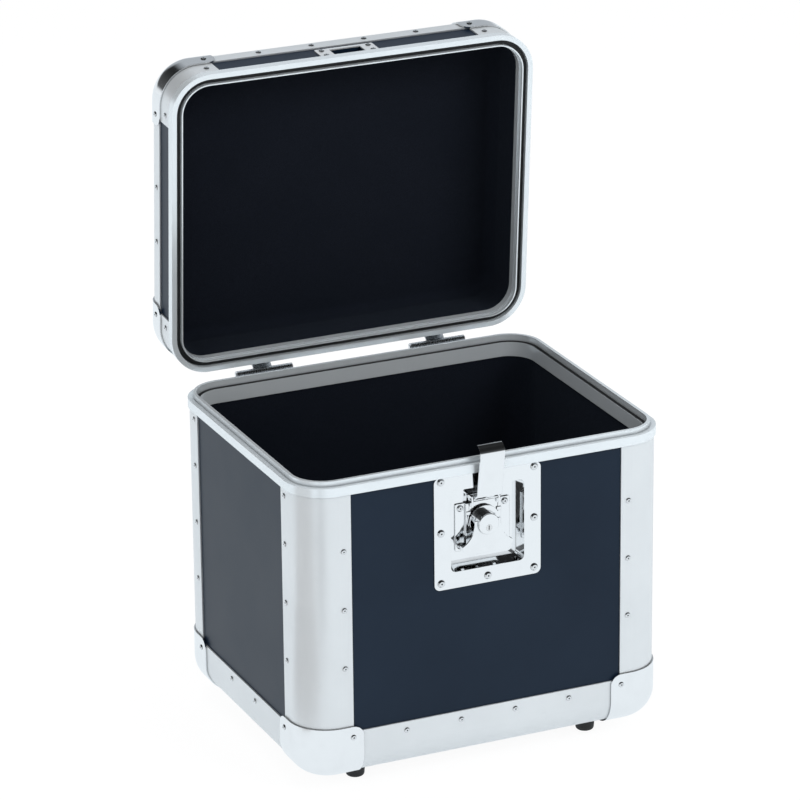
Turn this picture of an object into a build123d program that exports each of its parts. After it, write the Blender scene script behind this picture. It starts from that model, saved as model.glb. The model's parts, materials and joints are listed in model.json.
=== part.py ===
from build123d import *
import math
import os

os.makedirs("parts", exist_ok=True)

# All dimensions in millimetres. Z is up, the floor is z = 0, the latch faces -Y.
# The base box is drawn round x = y = 0 and everything is then set back by ORIGIN_Y.
# The lid is drawn closed and then swung open about the hinge axis.

# Case
HALF_W = 192.0                 # outer face of the corner posts, X
HALF_D = 155.0                 # outer face of the corner posts, Y
ORIGIN_Y = 39.0                # the origin lies under the middle of the open case
FOOT_H = 15.0
BASE_Z = FOOT_H                # underside of the bottom profiles
BASE_TOP_Z = 314.0             # upper edge of the base panels
PARTING_GAP = 0.5
SKIN = 1.6                     # outer web of every aluminium section
PANEL_T = 6.0
BACK_WEB = 1.2                 # inner web of every aluminium section
SECTION_T = SKIN + PANEL_T + BACK_WEB
PANEL_PLAY = 0.4               # panel edge to the web it faces

# Corner posts and edge profiles
POST_LEG = 50.0
POST_R = 38.0
EDGE_LEG = 50.0
EDGE_R = 28.0
EDGE_INNER_R = 12.0
LID_POST_LEG = 53.0
LID_EDGE_LEG = 34.0
LID_EDGE_R = 24.0

# Rim sections
RIM_OUT = 1.6                  # rim flange stands proud of the posts
RIM_T = 1.6
LEDGE_Z = 318.0
RIM_SKIRT = 9.0
TONGUE_IN = 4.0                # tongue, measured inward from the post face
TONGUE_T = 3.2
TONGUE_H = 5.0
LIP_IN = 8.8                   # inner lip of the lid rim
LIP_T = 1.2
STEP_Z = BASE_TOP_Z + 2.0
LINING_T = 1.2
LINING_IN = SECTION_T
BAND_IN = LINING_IN + LINING_T
BAND_T = 1.2
BAND_H = 15.0

# Lid
PART_Z = LEDGE_Z + PARTING_GAP
LID_H = 71.0
LID_TOP_Z = PART_Z + LID_H
GROOVE_TOP_Z = LEDGE_Z + TONGUE_H + 0.8
LID_PANEL_Z = GROOVE_TOP_Z + 1.2
LID_BAND_H = 12.5
LID_OPEN = 86.0
HINGE_Y = HALF_D + 10.5
HINGE_Z = PART_Z
HINGE_AXIS = Axis((0, HINGE_Y, HINGE_Z), (1, 0, 0))

# Ball corners
BALL_T = 1.6
BALL_IN = 60.0                 # reach of a corner along X and Y
BALL_TOP_Z = 71.0
LID_BALL_Z = LID_TOP_Z - 38.0
BALL_LOBE_R = 11.0
BALL_RIVET_IN = BALL_IN - BALL_LOBE_R
BALL_FACE_R = 38.0             # inner corner of the face under the base or over the lid
BALL_FACE_RIVET_IN = 42.0

# Rivets
RIVET_R = 2.7
RIVET_H = 1.1
RIVET_BORE_R = 0.8

# Latch
LOCK_Z = 255.0
PLATE_W = 112.0
PLATE_TOP_Z = LEDGE_Z - RIM_SKIRT
PLATE_H = 115.0
PLATE_T = 1.2
DISH_W = 77.0
DISH_H = 83.0
DISH_Z = LOCK_Z - 3.0
DISH_DEPTH = 13.5
DISH_DRAFT = 2.5
DISH_R = 5.0
PANEL_FACE = HALF_D - SKIN
PLATE_FACE = PANEL_FACE + PLATE_T
DISH_FLOOR = PLATE_FACE - DISH_DEPTH
CUT_PLAY = 2.0
MOUNT_T = 1.5
MOUNT_W = 57.0
MOUNT_Z0 = LOCK_Z - 29.0
MOUNT_Z1 = LOCK_Z + 19.0
SLIDE_PLAY = 0.5
SLIDE_T = 1.8
SLIDE_W = 30.0
SLIDE_Z0 = LOCK_Z - 18.0
SLIDE_Z1 = LOCK_Z + 20.0
GUIDE_LIP = 1.0
GUIDE_PLAY = 0.32
CAM_PLAY = 0.4
CAM_T = 1.8
CAM_R = 15.5
SPINDLE_R = 3.2
SPINDLE_END_PLAY = 0.3
LIFT = 5.0
TURN = 90.0
FOLLOWER_R = 1.5
FOLLOWER_START = 7.0
SLOT_PLAY = 0.35
LOCK_R = 10.5
LOCK_FACE = HALF_D + 2.9
PLUG_R = 3.2
PLUG_DROP = 3.7
RUN_FIT = 0.05
WING_Y = HALF_D - 1.6
WING_T = 1.6
WING_SKIRT = 5.0
PIVOT_Y = HALF_D - 7.0
PIVOT_Z = LOCK_Z + 24.0
PIN_R = 1.25
BARREL_R = 2.8
HOOK_W = 25.6
HOOK_T = 1.8
HOOK_BACK = HALF_D + 2.2              # back face of the strip when it holds the lid
HOOK_BEND = 9.0
CLAW_TIP = HALF_D - 5.6
CLAW_RISE = 8.8                # hook top above the lower edge of the window
HOOK_REST = 8.5                # the hook rests this far out of the lid's way

# Strike plate
STRIKE_W = 62.0
STRIKE_Z0 = PART_Z + RIM_SKIRT + 0.3
STRIKE_H = 23.0
STRIKE_T = 1.2
WINDOW_W = 33.0
WINDOW_Z0 = STRIKE_Z0 + 1.9
WINDOW_H = 17.0
HOOK_TOP_Z = WINDOW_Z0 + CLAW_RISE

# Hinges
HINGE_X = HALF_W - 97.0
HINGE_L = 60.0
KNUCKLE_R = 4.0
HINGE_PIN_R = 2.0
LEAF_T = 1.8
LEAF_GAP = 0.4

# Handle on the lid
HANDLE_SPAN = 130.0
HANDLE_REACH = 42.0
HANDLE_ROD_R = 4.0
GRIP_R = 8.5
GRIP_L = 96.0
HANDLE_PIN_Z = LID_TOP_Z + 10.5
BRACKET_T = 2.5
BRACKET_W = 40.0
BRACKET_D = 26.0
BRACKET_OUT = 10.0             # middle of a bracket beyond its end of the bow
LUG_R = 7.0
LUG_T = 4.0
LUG_OUT = 8.0

# Feet
FOOT_X = HALF_W - 68.0
FOOT_Y = HALF_D - 40.0
FOOT_R = 10.0

CORNERS = (("front_left", -1, -1), ("front_right", 1, -1), ("back_left", -1, 1), ("back_right", 1, 1))


def keep(shape, name):
    placed = shape.moved(Location((0, -ORIGIN_Y, 0)))
    placed.label = name
    export_step(placed, f"parts/{name}.step")


def keep_lid(shape, name):
    keep(shape.rotate(HINGE_AXIS, -LID_OPEN), name)


def side_plane(side, out):
    """Vertical plane on one side of the case, `out` from the middle, local y upward."""
    if side == "front":
        return Plane(origin=(0, -out, 0), x_dir=(1, 0, 0), z_dir=(0, -1, 0))
    if side == "back":
        return Plane(origin=(0, out, 0), x_dir=(-1, 0, 0), z_dir=(0, 1, 0))
    if side == "left":
        return Plane(origin=(-out, 0, 0), x_dir=(0, -1, 0), z_dir=(-1, 0, 0))
    return Plane(origin=(out, 0, 0), x_dir=(0, 1, 0), z_dir=(1, 0, 0))


def angle_band(corner, signs, leg, d0, r0, d1, r1, mode=Mode.ADD):
    """L-shaped band between two offsets from an outer corner, with its own corner radii."""
    def at(u, v):
        return (corner[0] - signs[0] * u, corner[1] - signs[1] * v)

    with BuildLine(Plane.XY) as outline:
        c0 = d0 + r0
        m0 = c0 - r0 * math.sqrt(0.5)
        c1 = d1 + r1
        m1 = c1 - r1 * math.sqrt(0.5)
        Line(at(leg, d0), at(c0, d0))
        ThreePointArc(at(c0, d0), at(m0, m0), at(d0, c0))
        Polyline(at(d0, c0), at(d0, leg), at(d1, leg), at(d1, c1))
        ThreePointArc(at(d1, c1), at(m1, m1), at(c1, d1))
        Polyline(at(c1, d1), at(leg, d1), at(leg, d0))
    make_face(outline.edges(), mode=mode)


def section(corner, signs, leg, radius, inner_radius):
    """Hollow section: outer web, panel slots on both legs, inner web."""
    slot_in = SKIN + PANEL_T
    angle_band(corner, signs, leg, 0, radius, SECTION_T, inner_radius)
    angle_band(corner, signs, leg, SKIN, radius - SKIN, slot_in, inner_radius + BACK_WEB, Mode.SUBTRACT)
    mid = radius + SKIN / 2
    deep = SECTION_T / 2
    with Locations((corner[0] - signs[0] * mid, corner[1] - signs[1] * deep)):
        Rectangle(SKIN, SECTION_T)
    with Locations((corner[0] - signs[0] * deep, corner[1] - signs[1] * mid)):
        Rectangle(SECTION_T, SKIN)


def ring(d0, d1, z0, z1):
    """Closed band around the case between two offsets inward from the post faces."""
    with BuildSketch(Plane.XY.offset(z0)) as band:
        RectangleRounded(2 * (HALF_W - d0), 2 * (HALF_D - d0), POST_R - d0)
        RectangleRounded(2 * (HALF_W - d1), 2 * (HALF_D - d1), POST_R - d1, mode=Mode.SUBTRACT)
    extrude(band.sketch, amount=z1 - z0)


def rivets(plane, points, radius=RIVET_R, height=RIVET_H):
    """Domed heads with the dimple of a drawn rivet, seated on a plane."""
    with BuildSketch(plane) as seats:
        with Locations(*points):
            Circle(radius)
    extrude(seats.sketch, amount=height * 0.4)
    with BuildSketch(plane.offset(height * 0.4)) as domes:
        with Locations(*points):
            Circle(radius)
    extrude(domes.sketch, amount=height * 0.6, taper=45)
    with BuildSketch(plane.offset(height * 0.4)) as dimples:
        with Locations(*points):
            Circle(RIVET_BORE_R)
    extrude(dimples.sketch, amount=height, mode=Mode.SUBTRACT)


def rounded_block(out, z0, z1, edge_r, round_top):
    """Full case body grown outward by `out`, with one horizontal edge loop rounded."""
    with BuildPart() as block:
        with BuildSketch(Plane.XY.offset(z0)):
            RectangleRounded(2 * (HALF_W + out), 2 * (HALF_D + out), POST_R + out)
        extrude(amount=z1 - z0)
        level = z1 if round_top else z0
        fillet(block.edges().filter_by_position(Axis.Z, level, level), edge_r + out)
    return block.part


# ---------------------------------------------------------------- base panels
SLOT_END = POST_R + SKIN + PANEL_PLAY
PANEL_Z0 = BASE_Z + EDGE_R + SKIN + PANEL_PLAY
CUT_W = DISH_W + 2 * CUT_PLAY
CUT_H = DISH_H + 2 * CUT_PLAY

with BuildPart() as front_panel:
    with BuildSketch(side_plane("front", PANEL_FACE)):
        with Locations((0, (PANEL_Z0 + BASE_TOP_Z) / 2)):
            Rectangle(2 * (HALF_W - SLOT_END), BASE_TOP_Z - PANEL_Z0)
        with Locations((0, DISH_Z)):
            Rectangle(CUT_W, CUT_H, mode=Mode.SUBTRACT)
    extrude(amount=-PANEL_T)
keep(front_panel.part, "front_panel")

WALL_SIDES = (("back", HALF_W, HALF_D), ("left", HALF_D, HALF_W), ("right", HALF_D, HALF_W))
for side, half_span, face in WALL_SIDES:
    with BuildPart() as wall_panel:
        with BuildSketch(side_plane(side, face - SKIN)):
            with Locations((0, (PANEL_Z0 + BASE_TOP_Z) / 2)):
                Rectangle(2 * (half_span - SLOT_END), BASE_TOP_Z - PANEL_Z0)
        extrude(amount=-PANEL_T)
    keep(wall_panel.part, f"{side}_panel")

EDGE_SLOT_END = EDGE_R + SKIN + PANEL_PLAY
with BuildPart() as bottom_panel:
    with BuildSketch(Plane.XY.offset(BASE_Z + SKIN)):
        Rectangle(2 * (HALF_W - EDGE_SLOT_END), 2 * (HALF_D - EDGE_SLOT_END))
    extrude(amount=PANEL_T)
keep(bottom_panel.part, "bottom_panel")

# ---------------------------------------------------------------- posts and profiles
POST_Z0 = BALL_TOP_Z - 14.0     # the posts stand inside the ball corners
for name, sx, sy in CORNERS:
    with BuildPart() as post:
        with BuildSketch(Plane.XY.offset(POST_Z0)):
            section((sx * HALF_W, sy * HALF_D), (sx, sy), POST_LEG, POST_R, POST_R - SECTION_T)
        extrude(amount=BASE_TOP_Z - POST_Z0)
    keep(post.part, f"corner_post_{name}")

PROFILE_X = HALF_W - POST_LEG
PROFILE_Y = HALF_D - POST_LEG
for name, sy in (("front", -1), ("back", 1)):
    with BuildPart() as profile:
        with BuildSketch(Plane.YZ.offset(-PROFILE_X)):
            section((sy * HALF_D, BASE_Z), (sy, -1), EDGE_LEG, EDGE_R, EDGE_INNER_R)
        extrude(amount=2 * PROFILE_X)
    keep(profile.part, f"bottom_profile_{name}")
for name, sx in (("left", -1), ("right", 1)):
    with BuildPart() as profile:
        with BuildSketch(Plane.XZ.offset(-PROFILE_Y)):
            section((sx * HALF_W, BASE_Z), (sx, -1), EDGE_LEG, EDGE_R, EDGE_INNER_R)
        extrude(amount=2 * PROFILE_Y)
    keep(profile.part, f"bottom_profile_{name}")


# ---------------------------------------------------------------- ball corners
def ball_corner(outer, inner, signs, z_edge, z_far, name, lid):
    """One corner cut out of the case skin; each of its three arms ends in a round lobe."""
    sx, sy = signs
    span = BALL_IN + BALL_T + 2.0
    rise = abs(z_far - z_edge)
    mid_x = sx * (HALF_W - BALL_IN + span / 2)
    mid_y = sy * (HALF_D - BALL_IN + span / 2)
    mid_z = (z_edge + z_far) / 2
    toward = 1 if z_far > z_edge else -1
    with BuildPart() as ball:
        add(outer)
        add(inner, mode=Mode.SUBTRACT)
        with BuildSketch(Plane.XZ) as from_front:
            with Locations((mid_x, mid_z)):
                Rectangle(span, rise)
            near = from_front.vertices().sort_by(lambda v: sx * v.X + toward * v.Y)[0]
            fillet(near, BALL_LOBE_R)
        extrude(amount=2 * HALF_W, both=True, mode=Mode.INTERSECT)
        with BuildSketch(Plane.YZ) as from_side:
            with Locations((mid_y, mid_z)):
                Rectangle(span, rise)
            near = from_side.vertices().sort_by(lambda v: sy * v.X + toward * v.Y)[0]
            fillet(near, BALL_LOBE_R)
        extrude(amount=2 * HALF_W, both=True, mode=Mode.INTERSECT)
        with BuildSketch(Plane.XY) as from_above:
            with Locations((mid_x, mid_y)):
                Rectangle(span, span)
            near = from_above.vertices().sort_by(lambda v: sx * v.X + sy * v.Y)[0]
            fillet(near, BALL_FACE_R)
        extrude(amount=2 * LID_TOP_Z, both=True, mode=Mode.INTERSECT)
    if lid:
        keep_lid(ball.part, name)
    else:
        keep(ball.part, name)


base_outer = rounded_block(BALL_T, BASE_Z - BALL_T, BALL_TOP_Z, EDGE_R, False)
base_inner = rounded_block(0, BASE_Z, BALL_TOP_Z, EDGE_R, False)
for name, sx, sy in CORNERS:
    ball_corner(base_outer, base_inner, (sx, sy), BALL_TOP_Z, 0, f"bottom_corner_{name}", False)

# ---------------------------------------------------------------- base rim
with BuildPart() as base_rim:
    ring(-RIM_OUT, 0, LEDGE_Z - RIM_SKIRT, LEDGE_Z)
    ring(-RIM_OUT, TONGUE_IN + TONGUE_T, LEDGE_Z - RIM_T, LEDGE_Z)
    ring(TONGUE_IN, TONGUE_IN + TONGUE_T, STEP_Z, LEDGE_Z + TONGUE_H)
    ring(TONGUE_IN + TONGUE_T - RIM_T, BAND_IN + BAND_T, BASE_TOP_Z, STEP_Z)
    ring(BAND_IN, BAND_IN + BAND_T, STEP_Z - BAND_H, STEP_Z)
keep(base_rim.part, "base_rim")

# ---------------------------------------------------------------- base lining
SLOT_IN = SKIN + PANEL_T
FLOOR_Z = BASE_Z + SECTION_T
FLOOR_PAD_T = 3.0
COVE = SECTION_T + EDGE_INNER_R
PAD_Z0 = BASE_Z + EDGE_LEG
BUMP = 3.0
DISH_BACK = DISH_FLOOR - PLATE_T


def lining_pads(z0, z1, leg):
    """Lining that fills the depth of the inner webs between the posts."""
    mid = (SLOT_IN + LINING_IN) / 2
    with BuildSketch(Plane.XY.offset(z0)) as pads:
        with Locations((0, HALF_D - mid), (0, mid - HALF_D)):
            Rectangle(2 * (HALF_W - leg), BACK_WEB)
        with Locations((HALF_W - mid, 0), (mid - HALF_W, 0)):
            Rectangle(BACK_WEB, 2 * (HALF_D - leg))
    extrude(pads.sketch, amount=z1 - z0)


base_cloth = rounded_block(-LINING_IN, FLOOR_Z, BASE_TOP_Z, COVE, False)
base_hollow = rounded_block(-BAND_IN, FLOOR_Z + LINING_T, BASE_TOP_Z, COVE, False)
with BuildPart() as wall_lining:
    add(base_cloth)
    add(base_hollow, mode=Mode.SUBTRACT)
    lining_pads(PAD_Z0, BASE_TOP_Z, POST_LEG)
    with BuildSketch(Plane.XY.offset(BASE_Z + SLOT_IN)):
        Rectangle(2 * (HALF_W - EDGE_LEG), 2 * (HALF_D - EDGE_LEG))
    extrude(amount=BACK_WEB)
    with BuildSketch(side_plane("front", PANEL_FACE - PANEL_T)):
        with Locations((0, DISH_Z)):
            Rectangle(CUT_W + 2 * LINING_T, CUT_H + 2 * LINING_T)
    extrude(amount=-(PANEL_FACE - PANEL_T - DISH_BACK + BUMP))
    with BuildSketch(side_plane("front", PANEL_FACE - PANEL_T)):
        with Locations((0, DISH_Z)):
            Rectangle(CUT_W, CUT_H)
    extrude(amount=-(PANEL_FACE - PANEL_T - DISH_BACK + BUMP - LINING_T), mode=Mode.SUBTRACT)
keep(wall_lining.part, "wall_lining")

with BuildPart() as floor_pad:
    with BuildSketch(Plane.XY.offset(FLOOR_Z + LINING_T)):
        RectangleRounded(2 * (HALF_W - COVE), 2 * (HALF_D - COVE), POST_R - COVE)
    extrude(amount=FLOOR_PAD_T)
keep(floor_pad.part, "floor_pad")

# ---------------------------------------------------------------- feet
FEET = [(x, y) for x in (-FOOT_X, FOOT_X) for y in (-FOOT_Y, FOOT_Y)]
FOOT_SCREW_R = 3.5
FOOT_WELL = 6.0
FOOT_ROUND = 2.8
with BuildPart() as feet:
    with BuildSketch(Plane.XY.offset(FOOT_H)):
        with Locations(*FEET):
            Circle(FOOT_R)
    extrude(amount=-FOOT_H, taper=4)
    fillet(feet.edges().filter_by_position(Axis.Z, 0, 0), FOOT_ROUND)
    with BuildSketch(Plane.XY):
        with Locations(*FEET):
            Circle(FOOT_SCREW_R + RUN_FIT)
    extrude(amount=FOOT_WELL, mode=Mode.SUBTRACT)
keep(feet.part, "rubber_feet")

with BuildPart() as foot_screws:
    with BuildSketch(Plane.XY.offset(FOOT_WELL)):
        with Locations(*FEET):
            Circle(FOOT_SCREW_R)
    extrude(amount=-2.0)
    with BuildSketch(Plane.XY.offset(FOOT_WELL - 2.0)):
        with Locations(*FEET):
            Rectangle(5.0, 1.0)
            Rectangle(1.0, 5.0)
    extrude(amount=1.0, mode=Mode.SUBTRACT)
keep(foot_screws.part, "foot_screws")

# ---------------------------------------------------------------- latch dish
PLATE_Z = PLATE_TOP_Z - PLATE_H / 2
PLATE_RIVET_IN = 7.0
RIVET_ROW_X = PLATE_W / 2 - PLATE_RIVET_IN
RIVET_ROW_Z = (PLATE_TOP_Z - PLATE_H + PLATE_RIVET_IN, PLATE_Z + 1.0, PLATE_TOP_Z - 4.5)
WALL_T = PLATE_T
FLOOR_W = DISH_W - 2 * DISH_DRAFT
FLOOR_H = DISH_H - 2 * DISH_DRAFT

with BuildPart() as latch_dish:
    with BuildSketch(side_plane("front", PANEL_FACE)):
        with Locations((0, PLATE_Z)):
            RectangleRounded(PLATE_W, PLATE_H, 6.0)
    extrude(amount=PLATE_T)
    with BuildSketch(side_plane("front", PANEL_FACE)):
        with Locations((0, DISH_Z)):
            RectangleRounded(DISH_W + 2 * WALL_T, DISH_H + 2 * WALL_T, DISH_R + WALL_T)
    with BuildSketch(side_plane("front", DISH_BACK)):
        with Locations((0, DISH_Z)):
            RectangleRounded(FLOOR_W + 2 * WALL_T, FLOOR_H + 2 * WALL_T, DISH_R)
    loft()
    with BuildSketch(side_plane("front", PLATE_FACE)):
        with Locations((0, DISH_Z)):
            RectangleRounded(DISH_W, DISH_H, DISH_R)
    with BuildSketch(side_plane("front", DISH_FLOOR)):
        with Locations((0, DISH_Z)):
            RectangleRounded(FLOOR_W, FLOOR_H, DISH_R - WALL_T)
    loft(mode=Mode.SUBTRACT)
keep(latch_dish.part, "latch_dish")

MOUNT_FACE = DISH_FLOOR + MOUNT_T
SLIDE_BACK = MOUNT_FACE + SLIDE_PLAY
SLIDE_FACE = SLIDE_BACK + SLIDE_T
LIP_BACK = SLIDE_FACE + GUIDE_PLAY
CAM_BACK = LIP_BACK + GUIDE_LIP + CAM_PLAY
CAM_FACE = CAM_BACK + CAM_T
GUIDE_W = 3.0
GUIDE_X = SLIDE_W / 2 + 0.3
GUIDE_LIP_Z = (LOCK_Z - 12.0, LOCK_Z + 9.3)

with BuildPart() as mounting_plate:
    with BuildSketch(side_plane("front", DISH_FLOOR)):
        with Locations((0, (MOUNT_Z0 + MOUNT_Z1) / 2)):
            RectangleRounded(MOUNT_W, MOUNT_Z1 - MOUNT_Z0, 1.5)
    extrude(amount=MOUNT_T)
    with BuildSketch(side_plane("front", MOUNT_FACE)):
        for x in (-1, 1):
            with Locations((x * (GUIDE_X + GUIDE_W / 2), (MOUNT_Z0 + MOUNT_Z1) / 2)):
                Rectangle(GUIDE_W, MOUNT_Z1 - MOUNT_Z0)
    extrude(amount=LIP_BACK - MOUNT_FACE)
    with BuildSketch(side_plane("front", LIP_BACK)):
        for x in (-1, 1):
            for z in GUIDE_LIP_Z:
                with Locations((x * (GUIDE_X + GUIDE_W / 2 - 0.8), z)):
                    Rectangle(GUIDE_W + 1.6, 3.0)
    extrude(amount=GUIDE_LIP)
    with BuildSketch(side_plane("front", DISH_FLOOR)):
        with Locations((0, LOCK_Z)):
            Circle(SPINDLE_R + RUN_FIT)
    extrude(amount=MOUNT_T, mode=Mode.SUBTRACT)
keep(mounting_plate.part, "latch_mounting_plate")

MOUNT_RIVET_X = MOUNT_W / 2 - 5.0
MOUNT_RIVET_Z = (MOUNT_Z0 + 5.0, MOUNT_Z1 - 4.5)
MOUNT_RIVETS = [(x, z) for x in (-MOUNT_RIVET_X, MOUNT_RIVET_X) for z in MOUNT_RIVET_Z]
DISH_RIVETS = [(x, z) for x in (-RIVET_ROW_X, RIVET_ROW_X) for z in RIVET_ROW_Z] + [(0, RIVET_ROW_Z[0])]
with BuildPart() as latch_rivets:
    rivets(side_plane("front", PLATE_FACE), DISH_RIVETS, 3.6, 1.8)
    rivets(side_plane("front", MOUNT_FACE), MOUNT_RIVETS, 3.2, 1.6)
keep(latch_rivets.part, "latch_rivets")


# ---------------------------------------------------------------- latch works
FOLLOWER_Z = LOCK_Z - FOLLOWER_START
with BuildPart() as slide:
    with BuildSketch(side_plane("front", SLIDE_BACK)):
        with Locations((0, (SLIDE_Z0 + SLIDE_Z1) / 2)):
            Rectangle(SLIDE_W, SLIDE_Z1 - SLIDE_Z0)
        with Locations((0, LOCK_Z + LIFT / 2)):
            SlotCenterToCenter(LIFT, 2 * SPINDLE_R + 1.0, rotation=90, mode=Mode.SUBTRACT)
    extrude(amount=SLIDE_T)
    with BuildSketch(side_plane("front", SLIDE_BACK)):
        for x in (-1, 1):
            with Locations((x * (SLIDE_W / 2 - 0.9), (SLIDE_Z1 + PIVOT_Z) / 2)):
                Rectangle(1.8, PIVOT_Z + BARREL_R - SLIDE_Z1 + 4.0)
    extrude(amount=PIVOT_Y + BARREL_R - SLIDE_BACK)
    with BuildSketch(Plane.YZ):
        with Locations((-PIVOT_Y, PIVOT_Z)):
            Circle(PIN_R)
    extrude(amount=SLIDE_W, both=True, mode=Mode.SUBTRACT)
    with BuildSketch(side_plane("front", SLIDE_FACE)):
        with Locations((0, FOLLOWER_Z)):
            Circle(FOLLOWER_R)
    extrude(amount=CAM_FACE - SLIDE_FACE)
keep(slide.part, "latch_slide")

with BuildPart() as hook_pin:
    with BuildSketch(Plane.YZ.offset(-SLIDE_W / 2 - 0.8)):
        with Locations((-PIVOT_Y, PIVOT_Z)):
            Circle(PIN_R)
    extrude(amount=SLIDE_W + 1.6)
keep(hook_pin.part, "hook_pin")


def swung(y, z):
    """Point of the hook, drawn in its holding place, swung out to where it rests."""
    turn = math.radians(HOOK_REST)
    dy = y + PIVOT_Y
    dz = z - PIVOT_Z
    ny = dy * math.cos(turn) - dz * math.sin(turn)
    nz = dz * math.cos(turn) + dy * math.sin(turn)
    return (ny - PIVOT_Y, nz + PIVOT_Z)


STRIP_FACE = HOOK_BACK + HOOK_T
LEG_Z = PIVOT_Z + 1.0
LEG_OUT_Z = LEG_Z + 6.0
IN_R = HOOK_BEND - HOOK_T
BEND_Y = STRIP_FACE - HOOK_BEND
BEND_Z = HOOK_TOP_Z - HOOK_BEND
DIAG = math.sqrt(0.5)
with BuildPart() as hook:
    with BuildSketch(Plane.YZ.offset(-HOOK_W / 2)):
        with BuildLine():
            Polyline(
                swung(-PIVOT_Y - 1.0, LEG_Z + HOOK_T),
                swung(-PIVOT_Y - 1.0, LEG_Z),
                swung(-PIVOT_Y - 4.0, LEG_Z),
                swung(-STRIP_FACE, LEG_OUT_Z),
                swung(-STRIP_FACE, BEND_Z),
            )
            ThreePointArc(
                swung(-STRIP_FACE, BEND_Z),
                swung(-BEND_Y - HOOK_BEND * DIAG, BEND_Z + HOOK_BEND * DIAG),
                swung(-BEND_Y, HOOK_TOP_Z),
            )
            Polyline(
                swung(-BEND_Y, HOOK_TOP_Z),
                swung(-CLAW_TIP, HOOK_TOP_Z),
                swung(-CLAW_TIP, HOOK_TOP_Z - HOOK_T),
                swung(-BEND_Y, HOOK_TOP_Z - HOOK_T),
            )
            ThreePointArc(
                swung(-BEND_Y, HOOK_TOP_Z - HOOK_T),
                swung(-BEND_Y - IN_R * DIAG, BEND_Z + IN_R * DIAG),
                swung(-HOOK_BACK, BEND_Z),
            )
            Polyline(
                swung(-HOOK_BACK, BEND_Z),
                swung(-HOOK_BACK, LEG_OUT_Z + 1.2),
                swung(-PIVOT_Y - 4.0, LEG_Z + HOOK_T),
                swung(-PIVOT_Y - 1.0, LEG_Z + HOOK_T),
            )
        make_face()
        with Locations((-PIVOT_Y, PIVOT_Z)):
            Circle(BARREL_R)
            Circle(PIN_R + RUN_FIT, mode=Mode.SUBTRACT)
    extrude(amount=HOOK_W)
keep(hook.part, "latch_hook")


def cam_slot_points(offset, start, stop, count):
    points = []
    for i in range(count + 1):
        turn = math.radians(start + (stop - start) * i / count)
        r = FOLLOWER_START + LIFT * math.degrees(turn) / TURN + offset
        points.append((r * math.sin(turn), LOCK_Z - r * math.cos(turn)))
    return points


SLOT_R = FOLLOWER_R + SLOT_PLAY
SLOT_OUTER = cam_slot_points(SLOT_R, -2.0, TURN + 2.0, 16)
SLOT_INNER = cam_slot_points(-SLOT_R, -2.0, TURN + 2.0, 16)
SLOT_ENDS = cam_slot_points(0, -2.0, TURN + 2.0, 1)
with BuildPart() as cam:
    with BuildSketch(side_plane("front", CAM_BACK)):
        with Locations((0, LOCK_Z)):
            Circle(CAM_R)
        with BuildLine():
            Polyline(*SLOT_OUTER, *reversed(SLOT_INNER), close=True)
        make_face(mode=Mode.SUBTRACT)
        with Locations(*SLOT_ENDS):
            Circle(SLOT_R, mode=Mode.SUBTRACT)
    extrude(amount=CAM_T)
    with BuildSketch(side_plane("front", CAM_BACK)):
        with Locations((0, LOCK_Z)):
            Circle(SPINDLE_R)
    extrude(amount=-(CAM_BACK - DISH_FLOOR - SPINDLE_END_PLAY))
keep(cam.part, "latch_cam")

TAIL_H = 2.0
TAIL_ROOM = 0.4
POCKET_R = PLUG_R + 3.0
PLUG_Z = LOCK_Z - PLUG_DROP
PLUG_BACK = CAM_FACE + 1.2
with BuildPart() as lock_housing:
    with BuildSketch(side_plane("front", CAM_FACE)):
        with Locations((0, LOCK_Z)):
            Circle(LOCK_R)
    extrude(amount=LOCK_FACE - CAM_FACE)
    fillet(lock_housing.faces().sort_by(Axis.Y)[0].edges(), 0.8)
    with BuildSketch(side_plane("front", PLUG_BACK)):
        with Locations((0, PLUG_Z)):
            Circle(POCKET_R)
    extrude(amount=TAIL_H + 2 * TAIL_ROOM, mode=Mode.SUBTRACT)
    with BuildSketch(side_plane("front", PLUG_BACK)):
        with Locations((0, PLUG_Z)):
            Circle(PLUG_R + RUN_FIT)
    extrude(amount=LOCK_FACE - PLUG_BACK, mode=Mode.SUBTRACT)
keep(lock_housing.part, "lock_housing")

with BuildPart() as key_plug:
    with BuildSketch(side_plane("front", PLUG_BACK + TAIL_ROOM)):
        with Locations((0, PLUG_Z)):
            Circle(PLUG_R)
        with Locations((0, PLUG_Z + 2.0)):
            Rectangle(3.0, 6.0)
    extrude(amount=TAIL_H)
    with BuildSketch(side_plane("front", PLUG_BACK + TAIL_ROOM)):
        with Locations((0, PLUG_Z)):
            Circle(PLUG_R)
    extrude(amount=LOCK_FACE - PLUG_BACK - TAIL_ROOM)
    with BuildSketch(side_plane("front", LOCK_FACE)):
        with Locations((0, PLUG_Z)):
            Rectangle(0.9, 4.4)
    extrude(amount=-4.0, mode=Mode.SUBTRACT)
keep(key_plug.part, "lock_key_plug")

WING_TIP = 13.5
WING_HALF = 26.5
WING_DROP = 30.0
WING_ROUND = 9.0
WING_SIDE_Z = LOCK_Z - WING_DROP + WING_ROUND
WING_WAIST = ((19.0, LOCK_Z - 15.0), (14.5, LOCK_Z - 7.0), (WING_TIP, LOCK_Z + 3.5))


def wing_foot(inset):
    """Lower outline of the wing from its right side round to its left side."""
    half = WING_HALF - inset
    low = LOCK_Z - WING_DROP + inset
    r = WING_ROUND - inset
    d = r * math.sqrt(0.5)
    x = WING_HALF - WING_ROUND
    ThreePointArc((half, WING_SIDE_Z), (x + d, WING_SIDE_Z - d), (x, low))
    Line((x, low), (-x, low))
    ThreePointArc((-x, low), (-x - d, WING_SIDE_Z - d), (-half, WING_SIDE_Z))


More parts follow.
